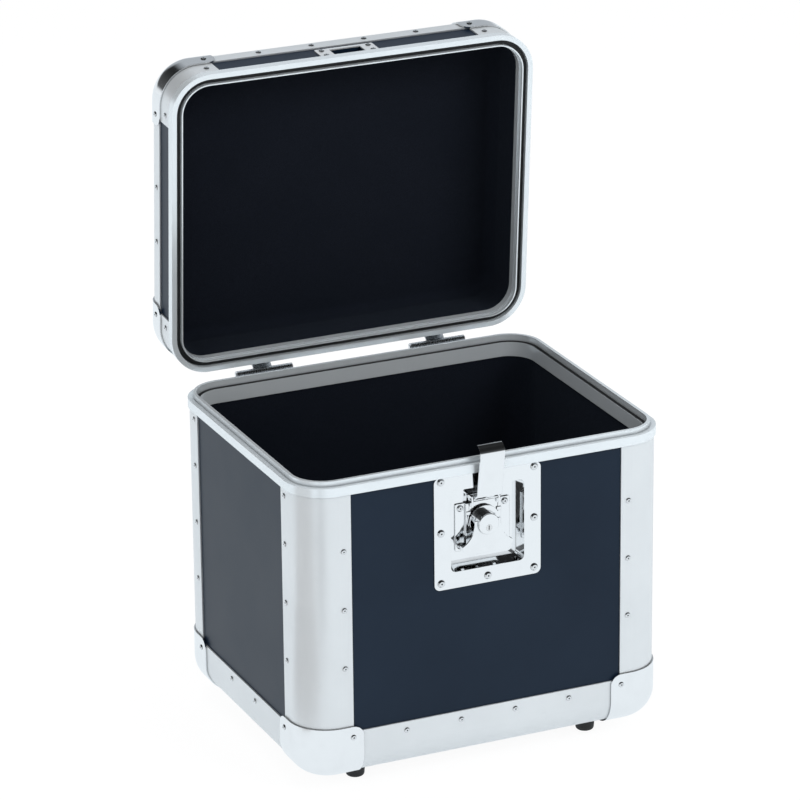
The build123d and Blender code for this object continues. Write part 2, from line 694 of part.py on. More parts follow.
with BuildPart() as wing:
    with BuildSketch(side_plane("front", WING_Y)):
        with BuildLine(Plane.XY) as wing_line:
            wing_foot(0)
            Spline((-WING_HALF, WING_SIDE_Z), *[(-x, z) for x, z in WING_WAIST])
            Line((-WING_TIP, LOCK_Z + 3.5), (WING_TIP, LOCK_Z + 3.5))
            Spline(*reversed(WING_WAIST), (WING_HALF, WING_SIDE_Z))
        make_face(wing_line.edges())
        with Locations((0, LOCK_Z)):
            Circle(LOCK_R, mode=Mode.SUBTRACT)
    extrude(amount=WING_T)
    with BuildSketch(side_plane("front", WING_Y)):
        with BuildLine(Plane.XY) as skirt_line:
            wing_foot(0)
            wing_foot(WING_T)
            Line((WING_HALF, WING_SIDE_Z), (WING_HALF - WING_T, WING_SIDE_Z))
            Line((-WING_HALF, WING_SIDE_Z), (WING_T - WING_HALF, WING_SIDE_Z))
        make_face(skirt_line.edges())
    extrude(amount=-WING_SKIRT)
keep(wing.part, "latch_wing")

# ---------------------------------------------------------------- lid panels
LID_SLOT_END = LID_EDGE_R + SKIN + PANEL_PLAY
LID_PANEL_TOP = LID_TOP_Z - LID_SLOT_END
POCKET_PLAY = 0.5
for side, half_span, face in (
    ("front", HALF_W, HALF_D),
    ("back", HALF_W, HALF_D),
    ("left", HALF_D, HALF_W),
    ("right", HALF_D, HALF_W),
):
    with BuildPart() as lid_side:
        with BuildSketch(side_plane(side, face - SKIN)):
            with Locations((0, (LID_PANEL_Z + LID_PANEL_TOP) / 2)):
                Rectangle(2 * (half_span - SLOT_END), LID_PANEL_TOP - LID_PANEL_Z)
            if side == "front":
                with Locations((0, WINDOW_Z0 + WINDOW_H / 2)):
                    Rectangle(WINDOW_W + 2 * POCKET_PLAY, WINDOW_H + 2 * POCKET_PLAY, mode=Mode.SUBTRACT)
        extrude(amount=-PANEL_T)
    keep_lid(lid_side.part, f"lid_{side}_panel")

with BuildPart() as lid_top:
    with BuildSketch(Plane.XY.offset(LID_TOP_Z - SKIN)):
        Rectangle(2 * (HALF_W - LID_SLOT_END), 2 * (HALF_D - LID_SLOT_END))
    extrude(amount=-PANEL_T)
keep_lid(lid_top.part, "lid_top_panel")

# ---------------------------------------------------------------- lid posts and profiles
LID_POST_TOP = LID_BALL_Z + 7.0
for name, sx, sy in CORNERS:
    with BuildPart() as lid_post:
        with BuildSketch(Plane.XY.offset(LID_PANEL_Z)):
            section((sx * HALF_W, sy * HALF_D), (sx, sy), LID_POST_LEG, POST_R, POST_R - SECTION_T)
        extrude(amount=LID_POST_TOP - LID_PANEL_Z)
    keep_lid(lid_post.part, f"lid_post_{name}")

LID_PROFILE_X = HALF_W - LID_POST_LEG
LID_PROFILE_Y = HALF_D - LID_POST_LEG
for name, sy in (("front", -1), ("back", 1)):
    with BuildPart() as lid_profile:
        with BuildSketch(Plane.YZ.offset(-LID_PROFILE_X)):
            section((sy * HALF_D, LID_TOP_Z), (sy, 1), LID_EDGE_LEG, LID_EDGE_R, EDGE_INNER_R)
        extrude(amount=2 * LID_PROFILE_X)
    keep_lid(lid_profile.part, f"lid_profile_{name}")
for name, sx in (("left", -1), ("right", 1)):
    with BuildPart() as lid_profile:
        with BuildSketch(Plane.XZ.offset(-LID_PROFILE_Y)):
            section((sx * HALF_W, LID_TOP_Z), (sx, 1), LID_EDGE_LEG, LID_EDGE_R, EDGE_INNER_R)
        extrude(amount=2 * LID_PROFILE_Y)
    keep_lid(lid_profile.part, f"lid_profile_{name}")

lid_outer = rounded_block(BALL_T, LID_BALL_Z, LID_TOP_Z + BALL_T, LID_EDGE_R, True)
lid_inner = rounded_block(0, LID_BALL_Z, LID_TOP_Z, LID_EDGE_R, True)
for name, sx, sy in CORNERS:
    ball_corner(lid_outer, lid_inner, (sx, sy), LID_BALL_Z, LID_TOP_Z + 5.0, f"lid_corner_{name}", True)

# ---------------------------------------------------------------- lid rim
with BuildPart() as lid_rim:
    ring(-RIM_OUT, 0, PART_Z, PART_Z + RIM_SKIRT)
    ring(-RIM_OUT, TONGUE_IN - 0.4, PART_Z, PART_Z + RIM_T)
    ring(TONGUE_IN - 0.4 - RIM_T, TONGUE_IN - 0.4, PART_Z, LID_PANEL_Z)
    ring(TONGUE_IN - 0.4 - RIM_T, BAND_IN + BAND_T, GROOVE_TOP_Z, LID_PANEL_Z)
    ring(LIP_IN, LIP_IN + LIP_T, PART_Z, LID_PANEL_Z)
    ring(BAND_IN, BAND_IN + BAND_T, GROOVE_TOP_Z, PART_Z + LID_BAND_H)
keep_lid(lid_rim.part, "lid_rim")

# ---------------------------------------------------------------- lid lining
LID_CEILING = LID_TOP_Z - SECTION_T
lid_cloth = rounded_block(-LINING_IN, LID_PANEL_Z, LID_CEILING, COVE, True)
lid_hollow = rounded_block(-BAND_IN, LID_PANEL_Z, LID_CEILING - LINING_T, COVE, True)
with BuildPart() as lid_lining:
    add(lid_cloth)
    add(lid_hollow, mode=Mode.SUBTRACT)
    lining_pads(LID_PANEL_Z, LID_TOP_Z - LID_EDGE_LEG, LID_POST_LEG)
    with BuildSketch(Plane.XY.offset(LID_CEILING)):
        Rectangle(2 * (HALF_W - LID_EDGE_LEG), 2 * (HALF_D - LID_EDGE_LEG))
    extrude(amount=BACK_WEB)
keep_lid(lid_lining.part, "lid_lining")

# ---------------------------------------------------------------- strike plate
with BuildPart() as strike:
    with BuildSketch(side_plane("front", PANEL_FACE)):
        with Locations((0, STRIKE_Z0 + STRIKE_H / 2)):
            RectangleRounded(STRIKE_W, STRIKE_H, 1.5)
        with Locations((0, WINDOW_Z0 + WINDOW_H / 2)):
            Rectangle(WINDOW_W, WINDOW_H, mode=Mode.SUBTRACT)
    extrude(amount=STRIKE_T)
keep_lid(strike.part, "strike_plate")

# ---------------------------------------------------------------- hinges
LEAF_BACK = PANEL_FACE
LEAF_FACE = LEAF_BACK + LEAF_T
KNUCKLE_PARTS = 3
KNUCKLE_L = (HINGE_L - (KNUCKLE_PARTS - 1) * LEAF_GAP) / KNUCKLE_PARTS
LEAF_LOW = LEDGE_Z - 50.0
LEAF_KINK = LEDGE_Z - 16.0
LID_LEAF_HIGH = PART_Z + 34.5
LID_LEAF_KINK = PART_Z + 16.5
MIDDLE = (-KNUCKLE_L / 2, KNUCKLE_L / 2)
OUTERS = ((-HINGE_L / 2, -HINGE_L / 2 + KNUCKLE_L), (HINGE_L / 2 - KNUCKLE_L, HINGE_L / 2))
HINGES = (-HINGE_X, HINGE_X)


def leaf(x0, x1, z_end, z_kink, z_knuckle, bore):
    """Plate, crank and barrel of a hinge leaf between two X stations."""
    with BuildSketch(Plane.YZ.offset(x0)) as leaf_shape:
        with BuildLine(Plane.XY) as leaf_line:
            Polyline(
                (LEAF_BACK, z_end),
                (LEAF_FACE, z_end),
                (LEAF_FACE, z_kink),
                (HINGE_Y, z_knuckle),
                (HINGE_Y - LEAF_T, z_knuckle),
                (LEAF_BACK, z_kink),
                (LEAF_BACK, z_end),
            )
        make_face(leaf_line.edges())
        with Locations((HINGE_Y, HINGE_Z)):
            Circle(KNUCKLE_R)
            Circle(bore, mode=Mode.SUBTRACT)
    extrude(leaf_shape.sketch, amount=x1 - x0)


def leaf_plate(x, z_end, z_kink):
    """Plate of a leaf, full hinge length, against the back panel."""
    with BuildSketch(side_plane("back", LEAF_BACK)) as plate_shape:
        with Locations((-x, (z_end + z_kink) / 2)):
            Rectangle(HINGE_L, abs(z_kink - z_end))
    extrude(plate_shape.sketch, amount=LEAF_T)


with BuildPart() as base_leaves:
    for x in HINGES:
        leaf_plate(x, LEAF_LOW, LEAF_KINK)
        for x0, x1 in OUTERS:
            leaf(x + x0, x + x1, LEAF_KINK - 4.0, LEAF_KINK, HINGE_Z - KNUCKLE_R + 1.0, HINGE_PIN_R)
keep(base_leaves.part, "hinge_base_leaves")

with BuildPart() as lid_leaves:
    for x in HINGES:
        leaf_plate(x, LID_LEAF_HIGH, LID_LEAF_KINK)
        x0, x1 = x + MIDDLE[0], x + MIDDLE[1]
        tail_z = HINGE_Z + KNUCKLE_R - 1.0
        leaf(x0, x1, LID_LEAF_KINK + 4.0, LID_LEAF_KINK, tail_z, HINGE_PIN_R + RUN_FIT)
keep_lid(lid_leaves.part, "hinge_lid_leaves")

with BuildPart() as hinge_pins:
    for x in HINGES:
        with BuildSketch(Plane.YZ.offset(x - HINGE_L / 2 - 0.8)):
            with Locations((HINGE_Y, HINGE_Z)):
                Circle(HINGE_PIN_R)
        extrude(amount=HINGE_L + 1.6)
keep(hinge_pins.part, "hinge_pins")

# ---------------------------------------------------------------- handle
BOW_X = HANDLE_SPAN / 2
BOW_Y = HANDLE_REACH
BOW_BEND = 14.0
HANDLE_Y = -BOW_Y / 2
with BuildPart() as brackets:
    for x in (-1, 1):
        with BuildSketch(Plane.XY.offset(LID_TOP_Z - SKIN)):
            with Locations((x * (BOW_X + BRACKET_OUT), HANDLE_Y)):
                RectangleRounded(BRACKET_W, BRACKET_D, LUG_T)
        extrude(amount=BRACKET_T)
        for lug in (-LUG_OUT, LUG_OUT):
            with BuildSketch(Plane.YZ.offset(x * BOW_X + lug - LUG_T / 2)):
                with Locations((HANDLE_Y, (LID_TOP_Z + HANDLE_PIN_Z) / 2)):
                    Rectangle(2 * LUG_R, HANDLE_PIN_Z - LID_TOP_Z)
                with Locations((HANDLE_Y, HANDLE_PIN_Z)):
                    Circle(LUG_R)
                    Circle(HANDLE_ROD_R + RUN_FIT, mode=Mode.SUBTRACT)
            extrude(amount=LUG_T)
keep_lid(brackets.part, "handle_brackets")

with BuildPart() as bow:
    with BuildLine(Plane.XY.offset(HANDLE_PIN_Z)) as bow_line:
        FilletPolyline(
            (-BOW_X, HANDLE_Y),
            (-BOW_X, HANDLE_Y + BOW_Y),
            (BOW_X, HANDLE_Y + BOW_Y),
            (BOW_X, HANDLE_Y),
            radius=BOW_BEND,
        )
    with BuildSketch(Plane(origin=(-BOW_X, HANDLE_Y, HANDLE_PIN_Z), z_dir=(0, 1, 0))):
        Circle(HANDLE_ROD_R)
    sweep(path=bow_line.wires()[0])
    for x in (-1, 1):
        with BuildSketch(Plane.YZ.offset(x * BOW_X)):
            with Locations((HANDLE_Y, HANDLE_PIN_Z)):
                Circle(HANDLE_ROD_R)
        extrude(amount=LUG_OUT + LUG_T - 0.5, both=True)
keep_lid(bow.part, "handle_bow")

with BuildPart() as grip:
    with BuildSketch(Plane.YZ.offset(-GRIP_L / 2)):
        with Locations((HANDLE_Y + BOW_Y, HANDLE_PIN_Z)):
            Circle(GRIP_R)
    extrude(amount=GRIP_L)
    fillet(grip.edges(), 2.5)
    with BuildSketch(Plane.YZ.offset(-GRIP_L / 2)):
        with Locations((HANDLE_Y + BOW_Y, HANDLE_PIN_Z)):
            Circle(HANDLE_ROD_R)
    extrude(amount=GRIP_L, mode=Mode.SUBTRACT)
keep_lid(grip.part, "handle_grip")

# ---------------------------------------------------------------- rivets and screws
POST_RIVET_IN = 42.0
POST_RIVET_Z = (132.0, 192.0, 252.0)
POST_RIVET_TOP = BASE_TOP_Z - 13.0
PROFILE_RIVET_Z = BASE_Z + EDGE_LEG - 9.0
PROFILE_RIVET_X = (-86.5, -28.8, 28.8, 86.5)
PROFILE_RIVET_Y = (-29.5, 29.5)
BALL_Z = BALL_TOP_Z - BALL_LOBE_R
PAIR = (-1, 1)
POST_X = HALF_W - POST_RIVET_IN
POST_Y = HALF_D - POST_RIVET_IN
BALL_X = HALF_W - BALL_RIVET_IN
BALL_Y = HALF_D - BALL_RIVET_IN
FACE_X = HALF_W - BALL_FACE_RIVET_IN
FACE_Y = HALF_D - BALL_FACE_RIVET_IN
LEAF_RIVET_IN = 8.0
LEAF_RIVET_X = HINGE_L / 3
LEAF_RIVET_Z = (LEAF_LOW + LEAF_RIVET_IN, LEAF_KINK - LEAF_RIVET_IN)
LEAF_RIVETS = [(h + i * LEAF_RIVET_X, z) for h in HINGES for i in PAIR for z in LEAF_RIVET_Z]
with BuildPart() as base_rivets:
    for side in ("front", "back"):
        heads = [(i * POST_X, z) for i in PAIR for z in POST_RIVET_Z]
        rivets(side_plane(side, HALF_D), heads + [(x, PROFILE_RIVET_Z) for x in PROFILE_RIVET_X])
        rivets(side_plane(side, HALF_D + BALL_T), [(i * BALL_X, BALL_Z) for i in PAIR])
    for side in ("left", "right"):
        heads = [(i * POST_Y, z) for i in PAIR for z in (*POST_RIVET_Z, POST_RIVET_TOP)]
        rivets(side_plane(side, HALF_W), heads + [(y, PROFILE_RIVET_Z) for y in PROFILE_RIVET_Y])
        rivets(side_plane(side, HALF_W + BALL_T), [(i * BALL_Y, BALL_Z) for i in PAIR])
    rivets(side_plane("back", LEAF_FACE), LEAF_RIVETS)
    under = Plane(origin=(0, 0, BASE_Z - BALL_T), x_dir=(1, 0, 0), z_dir=(0, 0, -1))
    rivets(under, [(i * FACE_X, j * FACE_Y) for i in PAIR for j in PAIR])
keep(base_rivets.part, "base_rivets")

LID_RIVET_IN = 43.0
LID_RIVET_Z = PART_Z + 21.5
STRIKE_RIVET_X = STRIKE_W / 2 - 6.0
STRIKE_RIVET_Z = (STRIKE_Z0 + 5.0, STRIKE_Z0 + STRIKE_H - 5.0)
LID_BALL_RIVET_Z = LID_BALL_Z + BALL_LOBE_R
LID_EDGE_RIVET_Z = LID_TOP_Z - LID_EDGE_LEG + 8.0
LID_EDGE_RIVET_X = (-84.6, -28.2, 28.2, 84.6)
LID_EDGE_RIVET_Y = (-28.7, 28.7)
STRIKE_RIVETS = [(i * STRIKE_RIVET_X, z) for i in PAIR for z in STRIKE_RIVET_Z]
LID_LEAF_RIVET_X = HINGE_L / 2 - LEAF_RIVET_IN
LID_LEAF_RIVET_Z = LID_LEAF_HIGH - LEAF_RIVET_IN
LID_LEAF_RIVETS = [(h + i * LID_LEAF_RIVET_X, LID_LEAF_RIVET_Z) for h in HINGES for i in (-1, 0, 1)]
BRACKET_SCREW_X = BOW_X + BRACKET_OUT + 0.3 * BRACKET_W
BRACKET_SCREWS = [(i * BRACKET_SCREW_X, HANDLE_Y + j * LUG_R) for i in PAIR for j in PAIR]
with BuildPart() as lid_rivets:
    for side in ("front", "back"):
        heads = [(i * (HALF_W - LID_RIVET_IN), LID_RIVET_Z) for i in PAIR]
        rivets(side_plane(side, HALF_D), heads + [(x, LID_EDGE_RIVET_Z) for x in LID_EDGE_RIVET_X])
        rivets(side_plane(side, HALF_D + BALL_T), [(i * BALL_X, LID_BALL_RIVET_Z) for i in PAIR])
    for side in ("left", "right"):
        heads = [(i * (HALF_D - LID_RIVET_IN), LID_RIVET_Z) for i in PAIR]
        rivets(side_plane(side, HALF_W), heads + [(y, LID_EDGE_RIVET_Z) for y in LID_EDGE_RIVET_Y])
        rivets(side_plane(side, HALF_W + BALL_T), [(i * BALL_Y, LID_BALL_RIVET_Z) for i in PAIR])
    rivets(side_plane("front", PANEL_FACE + STRIKE_T), STRIKE_RIVETS)
    rivets(side_plane("back", LEAF_FACE), LID_LEAF_RIVETS)
    rivets(Plane.XY.offset(LID_TOP_Z - SKIN + BRACKET_T), BRACKET_SCREWS)
    rivets(Plane.XY.offset(LID_TOP_Z + BALL_T), [(i * FACE_X, j * FACE_Y) for i in PAIR for j in PAIR])
keep_lid(lid_rivets.part, "lid_rivets")
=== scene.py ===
import json
import math

import bmesh
import bpy
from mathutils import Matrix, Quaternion, Vector, noise


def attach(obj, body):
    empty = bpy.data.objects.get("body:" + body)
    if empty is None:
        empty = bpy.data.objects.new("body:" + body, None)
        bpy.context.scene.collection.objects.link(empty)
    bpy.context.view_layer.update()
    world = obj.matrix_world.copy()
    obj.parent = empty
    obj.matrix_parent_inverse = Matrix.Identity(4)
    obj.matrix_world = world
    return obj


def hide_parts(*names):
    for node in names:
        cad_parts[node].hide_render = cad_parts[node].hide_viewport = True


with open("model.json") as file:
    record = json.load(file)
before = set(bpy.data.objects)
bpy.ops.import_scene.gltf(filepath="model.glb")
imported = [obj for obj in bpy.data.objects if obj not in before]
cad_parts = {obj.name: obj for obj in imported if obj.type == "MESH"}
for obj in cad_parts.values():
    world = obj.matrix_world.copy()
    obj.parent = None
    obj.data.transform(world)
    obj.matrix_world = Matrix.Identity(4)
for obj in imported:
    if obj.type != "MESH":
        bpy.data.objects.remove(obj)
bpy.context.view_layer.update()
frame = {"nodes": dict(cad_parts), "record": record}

nodes = frame["nodes"]
body_of_node = {n: b for b, names in frame["record"]["behaviour"]["bodies"].items() for n in names}

# ---------------------------------------------------------------- sizes, in metres
SET_BACK = -0.039              # the origin lies under the middle of the open case
HALF_W = 0.192                 # outer face of the corner posts, X
HALF_D = 0.155                 # outer face of the corner posts, Y
CORNER_R = 0.038
HINGE_OUT = 0.0105             # hinge axis behind the back posts
HINGE = Vector((0.0, HALF_D + HINGE_OUT + SET_BACK, 0.3185))
LID_OPEN = math.radians(86.0)
X, Y, Z = 0, 1, 2
WHITE = (1.0, 1.0, 1.0)


# ---------------------------------------------------------------- node helpers
class Nodes:
    """A node tree, with short ways to add and link the nodes used here."""

    def __init__(self, tree):
        self.tree = tree

    def add(self, kind, **props):
        made = self.tree.nodes.new(kind)
        for key, value in props.items():
            setattr(made, key, value)
        return made

    def link(self, a, b):
        self.tree.links.new(a, b)

    def spread(self, value, low, high, start=0.3, end=0.7):
        made = self.add("ShaderNodeMapRange")
        made.inputs["From Min"].default_value = start
        made.inputs["From Max"].default_value = end
        made.inputs["To Min"].default_value = low
        made.inputs["To Max"].default_value = high
        self.link(value, made.inputs["Value"])
        return made.outputs["Result"]

    def math(self, kind, a, b):
        made = self.add("ShaderNodeMath", operation=kind)
        for socket, value in zip(made.inputs, (a, b)):
            if isinstance(value, (int, float)):
                socket.default_value = value
            else:
                self.link(value, socket)
        return made.outputs["Value"]

    def mix(self, factor, a, b):
        made = self.add("ShaderNodeMix", data_type="RGBA")
        self.link(factor, made.inputs["Factor"])
        for socket, value in ((made.inputs["A"], a), (made.inputs["B"], b)):
            if isinstance(value, tuple):
                socket.default_value = (*value, 1.0)
            else:
                self.link(value, socket)
        return made.outputs["Result"]


class Finish(Nodes):
    """A material with a Principled shader and the coordinates of the case itself."""

    def __init__(self, name, tilt=0.0):
        self.mat = bpy.data.materials.new(name)
        self.mat.use_nodes = True
        super().__init__(self.mat.node_tree)
        self.shader = self.tree.nodes["Principled BSDF"]
        place = self.add("ShaderNodeTexCoord")
        turned = self.add("ShaderNodeMapping")
        turned.inputs["Rotation"].default_value = (tilt, 0.0, 0.0)
        self.link(place.outputs["Object"], turned.inputs["Vector"])
        self.coords = turned.outputs["Vector"]

    def scaled(self, stretch):
        mapping = self.add("ShaderNodeMapping")
        mapping.inputs["Scale"].default_value = stretch
        self.link(self.coords, mapping.inputs["Vector"])
        return mapping.outputs["Vector"]

    def noise(self, scale, detail=3.0, stretch=None, rough=0.5):
        tex = self.add("ShaderNodeTexNoise")
        tex.inputs["Scale"].default_value = scale
        tex.inputs["Detail"].default_value = detail
        tex.inputs["Roughness"].default_value = rough
        self.link(self.scaled(stretch) if stretch else self.coords, tex.inputs["Vector"])
        return tex.outputs["Fac"]

    def bump(self, height, strength, distance):
        made = self.add("ShaderNodeBump")
        made.inputs["Strength"].default_value = strength
        made.inputs["Distance"].default_value = distance
        self.link(height, made.inputs["Height"])
        if self.shader.inputs["Normal"].links:
            self.link(self.shader.inputs["Normal"].links[0].from_socket, made.inputs["Normal"])
        self.link(made.outputs["Normal"], self.shader.inputs["Normal"])

    def round_edges(self, radius):
        """Sharp edges of the solids catch the light as if they were slightly rounded."""
        made = self.add("ShaderNodeBevel", samples=4)
        made.inputs["Radius"].default_value = radius
        self.link(made.outputs["Normal"], self.shader.inputs["Normal"])

    def occlusion_shade(self, colour, reach, depth):
        """Paints shade into the colour: darkens corners, seams and bores by ambient occlusion."""
        made = self.add("ShaderNodeAmbientOcclusion", samples=6)
        made.inputs["Distance"].default_value = reach
        amount = self.spread(made.outputs["AO"], depth, 0.0, 0.25, 0.85)
        return self.mix(amount, colour, SHADE_TONE)

    def set(self, **values):
        for key, value in values.items():
            socket = self.shader.inputs[key.replace("_", " ")]
            if isinstance(value, tuple):
                socket.default_value = (*value, 1.0)
            elif isinstance(value, (int, float)):
                socket.default_value = value
            else:
                self.link(value, socket)


# ---------------------------------------------------------------- materials
# colour of the shade painted into corners, seams and bores
SHADE_TONE = (0.03, 0.032, 0.035)
SATIN = ((0.74, 0.77, 0.79), (0.78, 0.81, 0.83))
RIM_TONES = ((0.81, 0.86, 0.895), (0.85, 0.90, 0.93))
STRIKE_TONES = ((0.78, 0.80, 0.82), (0.82, 0.84, 0.86))
SATIN_METALLIC = 0.55
DULLED = 0.82                  # share of its tone that worn or stained metal keeps
ALONG_LINES = 0.02             # how far the die lines are drawn out


def section_metal(name, along, tilt=0.0, rough=(0.29, 0.36), tones=SATIN, worn=0.2):
    """Satin anodised metal. Along an axis it has die lines; with None it is plain."""
    g = Finish(name, tilt)
    cloud = g.noise(14.0, 4.0)
    lines = cloud
    if along is not None:
        g.round_edges(0.0004)
        stretch = [1.0, 1.0, 1.0]
        stretch[along] = ALONG_LINES
        lines = g.noise(900.0, 2.0, tuple(stretch))
    marks = g.noise(60.0, 6.0, (1.0, 0.25, 1.0), 0.7)
    tone = g.mix(g.spread(cloud, 0.0, 1.0), *tones)
    scuff = g.spread(marks, 0.0, worn, 0.62, 0.85)
    scuffed = g.mix(scuff, tone, tuple(DULLED * c for c in tones[0]))
    # the base colour has shade painted in by ambient occlusion: darker in corners, seams and bores
    g.set(Metallic=SATIN_METALLIC, Base_Color=g.occlusion_shade(scuffed, 0.003, 0.65))
    g.set(Roughness=g.math("ADD", g.spread(lines, *rough), g.math("MULTIPLY", scuff, 0.2)))
    if along is not None:
        g.bump(lines, 0.05, 0.0001)
    return g.mat


def plated(name, colour, rough, wave=0.25, wave_scale=28.0):
    """Bright plate on pressed steel: slow waves in the sheet, fine wipe marks in the polish."""
    g = Finish(name)
    g.round_edges(0.0003)
    slow = g.noise(wave_scale, 1.0)
    fine = g.noise(700.0, 3.0, (1.0, 1.0, 0.15))
    stain = g.noise(35.0, 5.0, rough=0.65)
    dull = tuple(DULLED * c for c in colour)
    clean = g.mix(g.spread(stain, 0.0, 0.22, 0.5, 0.8), colour, dull)
    # the base colour has shade painted in by ambient occlusion: darker in corners, seams and rivet bores
    g.set(Metallic=1.0, Base_Color=g.occlusion_shade(clean, 0.0022, 0.85))
    g.set(Roughness=g.math("ADD", g.spread(fine, *rough), g.spread(stain, 0.0, 0.04, 0.5, 0.8)))
    g.bump(slow, wave, 0.0012)
    g.bump(fine, 0.03, 0.0001)
    return g.mat


def laminate(name, tilt=0.0):
    """Dark high-pressure laminate: fine pebble, faint cloudiness, a few hairline scuffs."""
    g = Finish(name, tilt)
    pebble = g.noise(1500.0, 2.0)
    cloud = g.noise(9.0, 4.0)
    hair = g.noise(55.0, 8.0, (1.0, 1.0, 0.08), 0.75)
    scuff = g.spread(hair, 0.0, 0.5, 0.66, 0.74)
    tone = g.mix(g.spread(cloud, 0.0, 1.0), (0.0058, 0.0125, 0.0265), (0.0085, 0.0170, 0.0335))
    g.set(Base_Color=g.mix(scuff, tone, (0.024, 0.033, 0.048)))
    g.set(Roughness=g.math("ADD", g.spread(cloud, 0.30, 0.38), g.math("MULTIPLY", scuff, 0.3)))
    g.set(IOR=1.45, Specular_IOR_Level=0.26, Specular_Tint=(0.80, 0.92, 1.0))
    g.bump(pebble, 0.08, 0.0001)
    return g.mat


def felt(name):
    """Black needled felt: matted fibres, short nap, a little lint."""
    g = Finish(name)
    fibre = g.noise(1100.0, 6.0, rough=0.8)
    clumps = g.noise(160.0, 5.0, rough=0.7)
    nap = g.noise(18.0, 3.0)
    tone = g.mix(g.spread(fibre, 0.0, 1.0), (0.003, 0.004, 0.0065), (0.0115, 0.0145, 0.0225))
    g.set(Base_Color=g.mix(g.spread(nap, 0.0, 0.5), tone, (0.0055, 0.0075, 0.0120)))
    g.set(Roughness=0.95, Sheen_Weight=0.05, Sheen_Roughness=0.5, Sheen_Tint=(0.6, 0.75, 1.0))
    g.set(Specular_IOR_Level=0.08)
    g.bump(clumps, 0.35, 0.0012)
    g.bump(fibre, 0.6, 0.0006)
    return g.mat


def rubber(name, colour):
    """Black moulded rubber with a fine grain and a pale bloom."""
    g = Finish(name)
    grain = g.noise(1300.0, 3.0)
    bloom = g.noise(70.0, 4.0)
    pale = tuple(2.2 * c for c in colour)
    g.set(Base_Color=g.mix(g.spread(bloom, 0.0, 0.8, 0.45, 0.8), colour, pale))
    g.set(Roughness=g.spread(bloom, 0.5, 0.72))
    g.bump(grain, 0.25, 0.0003)
    return g.mat


metal = {
    "x": section_metal("section_x", X),
    "y": section_metal("section_y", Y),
    "z": section_metal("section_z", Z),
    "lid_x": section_metal("lid_section_x", X, LID_OPEN),
    "lid_y": section_metal("lid_section_y", Y, LID_OPEN),
    "lid_z": section_metal("lid_section_z", Z, LID_OPEN),
    "strike": section_metal("strike_steel", None, rough=(0.18, 0.24), tones=STRIKE_TONES, worn=0.1),
    "rim": section_metal("rim_section", None, rough=(0.22, 0.27), tones=RIM_TONES, worn=0.0),
}
chrome = plated("latch_plate", (0.91, 0.92, 0.93), (0.05, 0.09))
corner = plated("ball_corner_plate", (0.90, 0.91, 0.92), (0.08, 0.13), wave_scale=18.0)
steel = plated("zinc_steel", (0.66, 0.67, 0.69), (0.20, 0.32), 0.1)
rivet_steel = plated("rivet_steel", (0.78, 0.79, 0.80), (0.12, 0.20), 0.1)
plug_metal = plated("plug_nickel", (0.80, 0.80, 0.80), (0.10, 0.16), 0.1)
base_laminate = laminate("laminate")
felt_black = felt("felt")
foot_rubber = rubber("foot_rubber", (0.012, 0.012, 0.013))
grip_rubber = rubber("grip_rubber", (0.014, 0.014, 0.016))
SINGLE = {"rubber_feet": foot_rubber, "handle_grip": grip_rubber, "lock_key_plug": plug_metal}


def finish_for(name):
    """The material of a node, from its name. What nothing else claims is the latch's plate."""
    in_lid = name.startswith("lid_")
    if name.endswith("_panel"):
        return base_laminate
    if "post" in name:
        return metal["lid_z" if in_lid else "z"]
    if "profile" in name:
        axis = "x" if name.endswith(("front", "back")) else "y"
        return metal["lid_" + axis if in_lid else axis]
    if name.endswith("_rim"):
        return metal["rim"]
    if name == "strike_plate":
        return metal["strike"]
    if "_corner_" in name:
        return corner
    if "lining" in name or name == "floor_pad":
        return felt_black
    if "rivets" in name or name in ("foot_screws", "hinge_pins", "hook_pin"):
        return rivet_steel
    if name.startswith("hinge"):
        return steel
    return SINGLE.get(name, chrome)


for name, obj in nodes.items():
    obj.data.materials.clear()
    obj.data.materials.append(finish_for(name))


# ---------------------------------------------------------------- felt linings
FELT_EDGE = 0.012              # longest edge of the divided felt
LINING_SAG = 0.0003
PAD_SAG = 0.0008
MOST_CUTS = 7


def felt_copy(name, sag, seed):
    """The lining as laid felt: the solid's own form, divided finely, its faces sunk unevenly."""
    mesh = nodes[name].data.copy()
    bm = bmesh.new()
    bm.from_mesh(mesh)
    bmesh.ops.remove_doubles(bm, verts=bm.verts, dist=1e-6)
    for _ in range(MOST_CUTS):
        long_edges = [e for e in bm.edges if e.calc_length() > FELT_EDGE]
        if not long_edges:
            break
        bmesh.ops.subdivide_edges(bm, edges=long_edges, cuts=1)
        bmesh.ops.triangulate(bm, faces=[f for f in bm.faces if len(f.verts) > 3])
    bm.normal_update()
    offset = Vector((seed, seed * 1.7, seed * 0.3))
    moved = []
    for v in bm.verts:
        soft = 0.6 * noise.noise(v.co * 22.0 + offset) + 0.4 * noise.noise(v.co * 75.0 + offset)
        moved.append(v.co - v.normal * sag * (0.5 + 0.5 * soft))
    for v, co in zip(bm.verts, moved):
        v.co = co
    bm.to_mesh(mesh)
    bm.free()
    made = bpy.data.objects.new(name + "_felt", mesh)
    bpy.context.scene.collection.objects.link(made)
    mesh.materials.clear()
    mesh.materials.append(felt_black)
    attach(made, body_of_node[name])
    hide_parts(name)
    return made


felt_copy("wall_lining", LINING_SAG, 3.1)
felt_copy("lid_lining", LINING_SAG, 7.4)
pad = felt_copy("floor_pad", PAD_SAG, 12.9)


# ---------------------------------------------------------------- rim strips: dark rubber that paints the shade of the grooves
ARC_STEPS = 14
CROWN = 0.35                   # rise of a strip's middle, as a share of its height


def loop(inward, z):
    """Closed line at one distance inside the post faces, with the corners of the case."""
    r = CORNER_R - inward
    points = []
    for i, (sx, sy) in enumerate(((1, 1), (-1, 1), (-1, -1), (1, -1))):
        cx, cy = sx * (HALF_W - CORNER_R), sy * (HALF_D - CORNER_R)
        for k in range(ARC_STEPS + 1):
            a = math.radians(90.0 * (i + k / ARC_STEPS))
            points.append(Vector((cx + r * math.cos(a), cy + SET_BACK + r * math.sin(a), z)))
    return points


